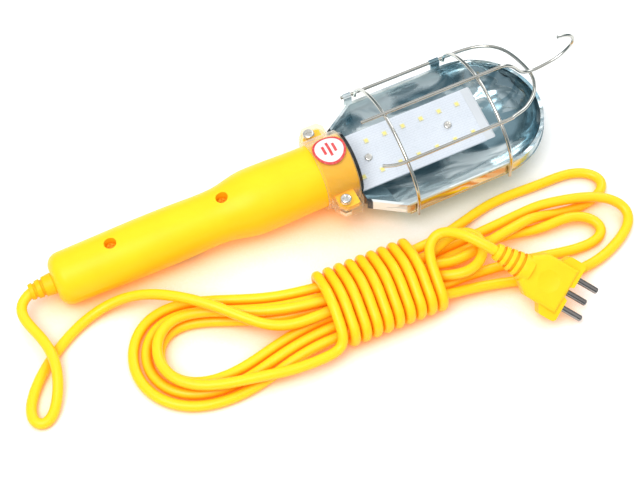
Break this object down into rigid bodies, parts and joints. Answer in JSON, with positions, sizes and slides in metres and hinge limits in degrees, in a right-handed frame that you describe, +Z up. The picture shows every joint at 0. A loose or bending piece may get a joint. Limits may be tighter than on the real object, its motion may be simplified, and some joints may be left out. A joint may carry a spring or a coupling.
{
  "type": "hand-held work light",
  "caption": "Hand-held work light: two-shell grip, clear collar, trough reflector, hinged wire guard with hook, screw-in LED bulb, bound cord coil and in-line pin plug.",
  "frame": {"origin": "centre of the footprint's bounding box, on the floor the lamp lies on", "axes": "+X along the lamp from grip to hook, +Y from the coil towards the guard's hinge side, +Z up"},
  "size_m": [0.3934, 0.1972, 0.0784],
  "materials": {
    "handle_plastic": "satin moulded yellow plastic",
    "boot_rubber": "yellow moulded rubber",
    "cord_jacket": "smooth yellow cord jacket",
    "plug_rubber": "moulded yellow plug",
    "clear_plastic": "clear moulded plastic",
    "label_paper": "white sticker with a red ring",
    "steel_screw": "bright zinc plated",
    "yellow_zinc": "yellow zinc plated",
    "guard_chrome": "bright plated wire",
    "reflector_chrome": "bright plated sheet",
    "pin_metal": "dull plated pins",
    "brass_parts": "bright brass",
    "white_ceramic": "glazed white",
    "white_plastic": "white moulded plastic",
    "black_plastic": "black moulded plastic",
    "red_insulation": "brown insulation",
    "blue_insulation": "blue insulation",
    "board_white": "white solder mask",
    "board_green": "green solder mask",
    "led_phosphor": "pale yellow phosphor",
    "copper_winding": "enamelled copper"
  },
  "bodies": {
    "lamp": {"handle_upper_shell": "handle_plastic", "handle_lower_shell": "handle_plastic", "handle_screws": "yellow_zinc", "cord_boot": "boot_rubber", "cord_clamp": "black_plastic", "cord_clamp_screws": "steel_screw", "lampholder_body": "white_ceramic", "lampholder_screw_shell": "brass_parts", "lampholder_centre_contact": "brass_parts", "lampholder_terminal_screws": "brass_parts", "live_wire": "red_insulation", "neutral_wire": "blue_insulation", "switch_housing": "black_plastic", "switch_pivot": "steel_screw", "collar_upper": "clear_plastic", "collar_lower": "clear_plastic", "collar_screws": "steel_screw", "collar_nuts": "steel_screw", "label": "label_paper", "reflector": "reflector_chrome", "plug_body": "plug_rubber", "plug_pins": "pin_metal", "power_cord": "cord_jacket"},
    "guard": {"guard_loop": "guard_chrome", "guard_rear_hoop": "guard_chrome", "guard_front_hoop": "guard_chrome", "guard_spine_hook": "guard_chrome"},
    "bulb_carrier": {"bulb_tip_contact": "brass_parts"},
    "bulb": {"bulb_cap_shell": "steel_screw", "bulb_cap_insulator": "black_plastic", "bulb_housing": "white_plastic", "bulb_heatsink": "white_plastic", "bulb_end_cap": "white_plastic", "led_board": "board_white", "led_chips": "led_phosphor", "board_screws": "steel_screw", "driver_board": "board_green", "driver_capacitor": "black_plastic", "driver_inductor": "copper_winding"},
    "rocker": {"switch_rocker": "black_plastic"}
  },
  "joints": [
    {"name": "guard_hinge", "type": "hinge", "parent": "lamp", "child": "guard", "pos_m": [0.09224, 0.09687, 0.03217], "axis": [-0.9985, 0, -0.0548], "range_deg": [0, 120]},
    {"name": "bulb_unscrew", "type": "hinge", "parent": "bulb_carrier", "child": "bulb", "pos_m": [0.01749, 0.05047, 0.02556], "axis": [0.9985, 0, 0.0548], "range_deg": [0, 1800]},
    {"name": "bulb_travel", "type": "slide", "parent": "lamp", "child": "bulb_carrier", "axis": [0.9985, 0, 0.0548], "range_m": [0, 0.01835]},
    {"name": "switch_rock", "type": "hinge", "parent": "lamp", "child": "rocker", "pos_m": [-0.07454, 0.05047, 0.00529], "axis": [0, 1, 0], "range_deg": [0, 14]}
  ],
  "couplings": [
    {"joint": "bulb_travel", "follows": "bulb_unscrew", "m_per_rad": 0.00057757}
  ]
}
